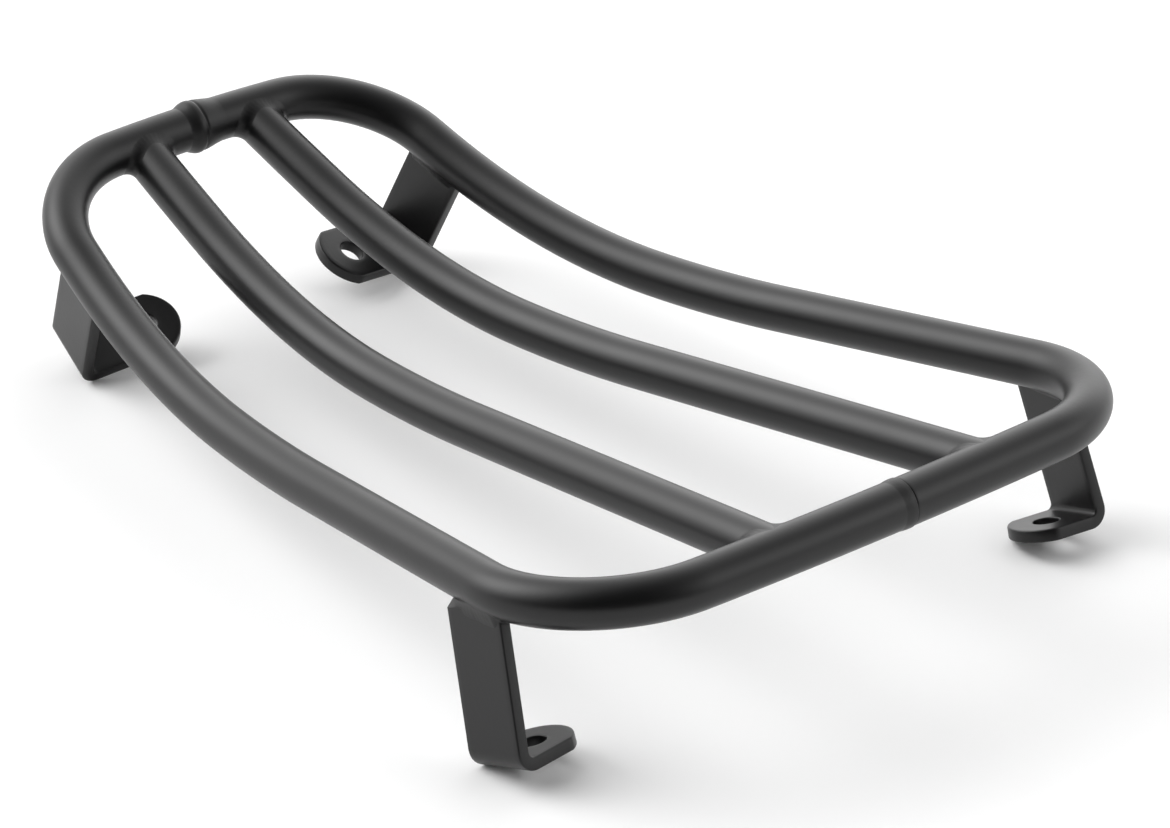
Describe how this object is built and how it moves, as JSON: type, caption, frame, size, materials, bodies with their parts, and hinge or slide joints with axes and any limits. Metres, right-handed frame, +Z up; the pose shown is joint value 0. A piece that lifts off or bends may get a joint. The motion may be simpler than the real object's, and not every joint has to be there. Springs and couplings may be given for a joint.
{
  "type": "scooter luggage rack",
  "caption": "Rigid welded tubular luggage rack with a curved trapezoid hoop, lengthwise slats and bent flat-bar legs for a scooter's step-through.",
  "frame": {"origin": "on the ground under the middle of the rack's box, with the rack standing on its four feet", "axes": "+X from the low, wide end to the raised, narrow end; +Y to the left; +Z up"},
  "size_m": [0.3832, 0.25, 0.0766],
  "materials": {
    "satin_black_coat": "satin black powder coat over steel tube and flat bar",
    "weld_black_coat": "the same coat over weld beads, a little rougher",
    "bare_steel": "bare steel sleeves inside the tubes"
  },
  "bodies": {
    "root": {"hoop_tube_left": "satin_black_coat", "slat_tube_left": "satin_black_coat", "hoop_tube_right": "satin_black_coat", "slat_tube_right": "satin_black_coat", "leg_low_left": "satin_black_coat", "leg_low_right": "satin_black_coat", "leg_raised_left": "satin_black_coat", "leg_raised_right": "satin_black_coat", "joint_spigot_low": "bare_steel", "joint_spigot_raised": "bare_steel", "joint_weld_low": "weld_black_coat", "joint_weld_raised": "weld_black_coat", "slat_weld_left_low": "weld_black_coat", "leg_weld_low_left": "weld_black_coat", "slat_weld_right_low": "weld_black_coat", "leg_weld_low_right": "weld_black_coat", "slat_weld_left_raised": "weld_black_coat", "leg_weld_raised_left": "weld_black_coat", "slat_weld_right_raised": "weld_black_coat", "leg_weld_raised_right": "weld_black_coat"}
  },
  "joints": []
}
